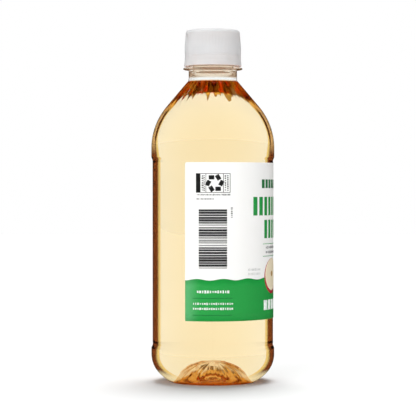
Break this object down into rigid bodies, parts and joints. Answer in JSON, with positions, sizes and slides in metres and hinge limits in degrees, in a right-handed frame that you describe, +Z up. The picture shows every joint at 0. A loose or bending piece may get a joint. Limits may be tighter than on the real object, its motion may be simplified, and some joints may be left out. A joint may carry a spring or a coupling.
{
  "type": "vinegar bottle",
  "caption": "Clear round plastic bottle of amber vinegar, with a white screw cap, a support ring on its short neck and a plain wrap label.",
  "frame": {"origin": "centre of the foot ring, on the surface that the bottle stands on", "axes": "+Z up the bottle's axis through the cap; -Y is the side that the picture shows, +X to its right"},
  "size_m": [0.0662, 0.0662, 0.1888],
  "materials": {
    "clear_pet": "clear blown PET, glossy",
    "vinegar": "clear pale amber liquid",
    "white_polypropylene": "moulded off-white, satin",
    "label_film": "printed white film with a green band, satin"
  },
  "bodies": {
    "root": {"bottle": "clear_pet", "vinegar": "vinegar", "cap": "white_polypropylene", "label": "label_film"}
  },
  "joints": []
}
